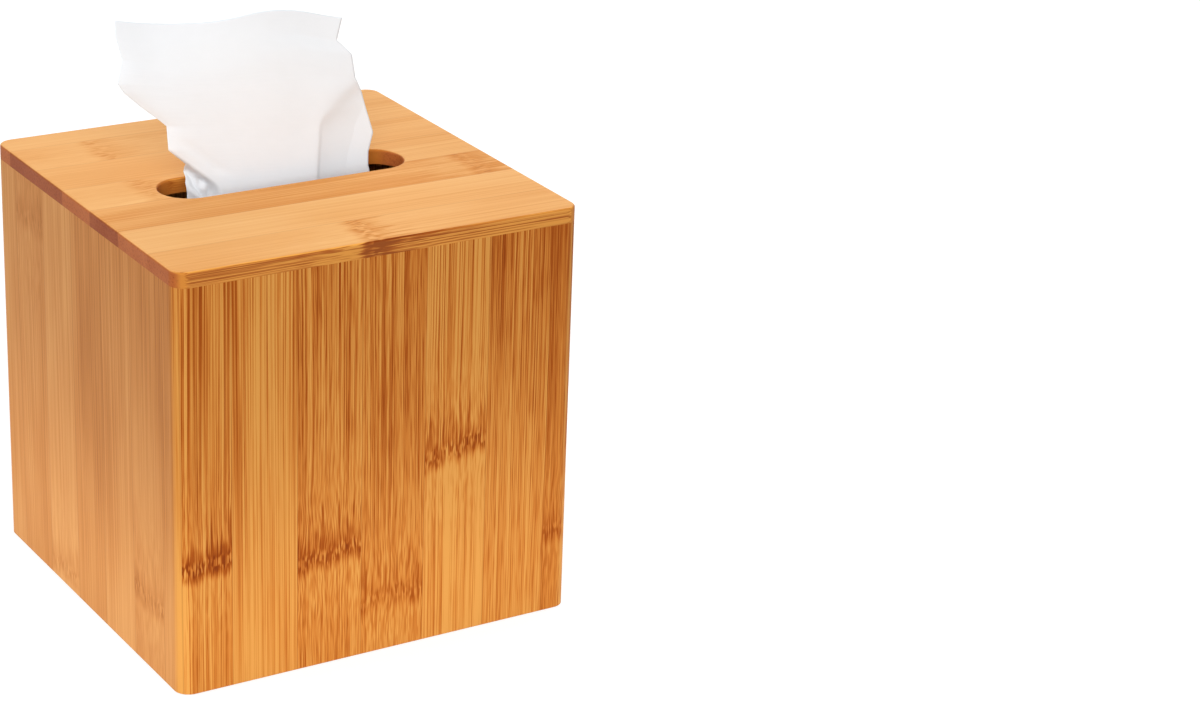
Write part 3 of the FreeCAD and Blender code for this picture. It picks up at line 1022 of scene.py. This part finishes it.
class TISSUECOVER_OT_make_pack(bpy.types.Operator):
    """Make the pack of tissues inside the cover, bent into a U"""

    bl_idname = "tissue_cover.make_pack"
    bl_label = "Make tissue pack"

    def execute(self, context):
        sizes = context.scene.tissue_sizes
        low, high = (np.array(corner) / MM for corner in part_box("tissue_pack"))
        draw = np.random.default_rng(PACK_SEED)
        count = sizes.leaves
        pitch = (high[1] - PACK_GAP_HALF) / count
        material = tissue_paper("creped tissue paper, packed", tuple(sizes.paper))
        pieces = []
        for number in range(count):
            inset = (number + 0.5) * pitch
            radius = OUTER_RADIUS + (INNER_RADIUS - OUTER_RADIUS) * (number + 0.5) / count
            sides, flat = pack_leaf(
                high[1] - inset, low[2] + inset, radius, high[2], high[0], LEAF_FILL * pitch, draw)
            pieces += [sheet_object("tissue_leaf", side, flat, material) for side in sides]
        with context.temp_override(active_object=pieces[0], selected_editable_objects=pieces):
            bpy.ops.object.join()
        pack = pieces[0]
        pack.name = "tissue_pack_leaves"
        merge_rims(pack)
        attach(pack, "cover")
        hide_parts("tissue_pack")
        return {"FINISHED"}


class TISSUECOVER_OT_make_tissue(bpy.types.Operator):
    """Make the tissue that stands in the slot"""

    bl_idname = "tissue_cover.make_tissue"
    bl_label = "Make standing tissue"

    def execute(self, context):
        sizes = context.scene.tissue_sizes
        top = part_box("top_lath_1")[1].z / MM
        points, flat = standing_tissue(sizes, top)
        material = tissue_paper("creped tissue paper, standing", tuple(sizes.paper))
        piece = sheet_object("standing_tissue", points, flat, material)
        plies = piece.modifiers.new("plies", "SOLIDIFY")
        plies.thickness = sizes.thickness
        plies.offset = 0.0
        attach(piece, "tissue")
        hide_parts("tissue")
        return {"FINISHED"}


class TISSUECOVER_OT_make_stage(bpy.types.Operator):
    """Make the floor, the lamps, the even light and the camera"""

    bl_idname = "tissue_cover.make_stage"
    bl_label = "Make studio"

    def execute(self, context):
        scene = context.scene
        studio = scene.studio_settings
        scene.view_settings.view_transform = "Standard"

        # Painted floor: pale and matt. It shows as white and still takes the cover's shadow.
        material, tree = new_material("matt white floor paint")
        glow = add_node(tree, "Math", [seen_rays(tree), FLOOR_GLOW], operation="MULTIPLY")
        shader = add_node(tree, "BsdfPrincipled", {
            "Base Color": (*studio.floor, 1), "Roughness": 0.9, "Specular IOR Level": 0.2,
            "Emission Color": (1, 1, 1, 1), "Emission Strength": glow})
        add_node(tree, "OutputMaterial", [shader])
        reach = np.linspace(-FLOOR_REACH, FLOOR_REACH, FLOOR_POINTS) / MM
        spread = np.stack(np.broadcast_arrays(reach[None, :], reach[:, None], FLOOR_LEVEL), axis=-1)
        floor = sheet_object("studio_floor", spread, spread[..., :2], material)

        world = bpy.data.worlds.new("even studio light")
        world.use_nodes = True
        tree = world.node_tree
        tree.nodes.clear()
        strength = add_node(tree, "MapRange", [seen_rays(tree), 0.0, 1.0, studio.sky, 1.0])
        light = add_node(tree, "Background", {"Color": (1, 1, 1, 1), "Strength": strength})
        add_node(tree, "OutputWorld", [light])
        scene.world = world

        for name, box in SOFT_BOXES.items():
            watts = getattr(studio, box.power)
            area_lamp(scene, name, Vector(box.place), Vector(SOFT_BOX_AIM), (box.side, box.side), watts)
        for name, way in FOOT_STRIPS.items():
            out = Vector(way)
            foot = out * STRIP_DISTANCE + Vector((0.0, 0.0, STRIP_LEVEL))
            area_lamp(scene, name, foot, foot - out, STRIP_SIZE, studio.foot, STRIP_SPREAD)

        camera = bpy.data.objects.new("camera", bpy.data.cameras.new("camera"))
        camera.data.lens = studio.lens
        camera.data.sensor_width = SENSOR_WIDTH
        camera.data.clip_start = NEAREST_SEEN
        camera.location = studio.eye
        camera.rotation_mode = "QUATERNION"
        turn = Quaternion((0, 0, 1), studio.roll)
        camera.rotation_quaternion = Vector(studio.look).to_track_quat("-Z", "Y") @ turn
        scene.collection.objects.link(camera)
        scene.camera = camera
        return {"FINISHED"}


OPERATORS = (
    TISSUECOVER_OT_finish_walls,
    TISSUECOVER_OT_finish_top,
    TISSUECOVER_OT_finish_base,
    TISSUECOVER_OT_make_pack,
    TISSUECOVER_OT_make_tissue,
    TISSUECOVER_OT_make_stage,
)
GROUPS = {
    "bamboo_colours": BambooColours,
    "tissue_sizes": TissueSizes,
    "studio_settings": StudioSettings,
}


class TISSUECOVER_PT_panel(bpy.types.Panel):
    """The cover's sizes, colours and steps"""

    bl_idname = "TISSUECOVER_PT_panel"
    bl_label = "Tissue box cover"
    bl_space_type = "VIEW_3D"
    bl_region_type = "UI"
    bl_category = "Tissue cover"

    def draw(self, context):
        for name, group in GROUPS.items():
            box = self.layout.box()
            for prop in group.__annotations__:
                box.prop(getattr(context.scene, name), prop)
        for operator in OPERATORS:
            self.layout.operator(operator.bl_idname)


def register():
    """Add the groups of settings, the steps and the panel to Blender."""
    for kind in (*GROUPS.values(), *OPERATORS, TISSUECOVER_PT_panel):
        bpy.utils.register_class(kind)
    for name, group in GROUPS.items():
        setattr(bpy.types.Scene, name, PointerProperty(type=group))


def unregister():
    """Take them out again."""
    for name in GROUPS:
        delattr(bpy.types.Scene, name)
    for kind in (TISSUECOVER_PT_panel, *reversed(OPERATORS), *reversed(GROUPS.values())):
        bpy.utils.unregister_class(kind)


def main():
    register()
    for operator in OPERATORS:
        group, step = operator.bl_idname.split(".")
        getattr(getattr(bpy.ops, group), step)()


if __name__ == "__main__":
    main()
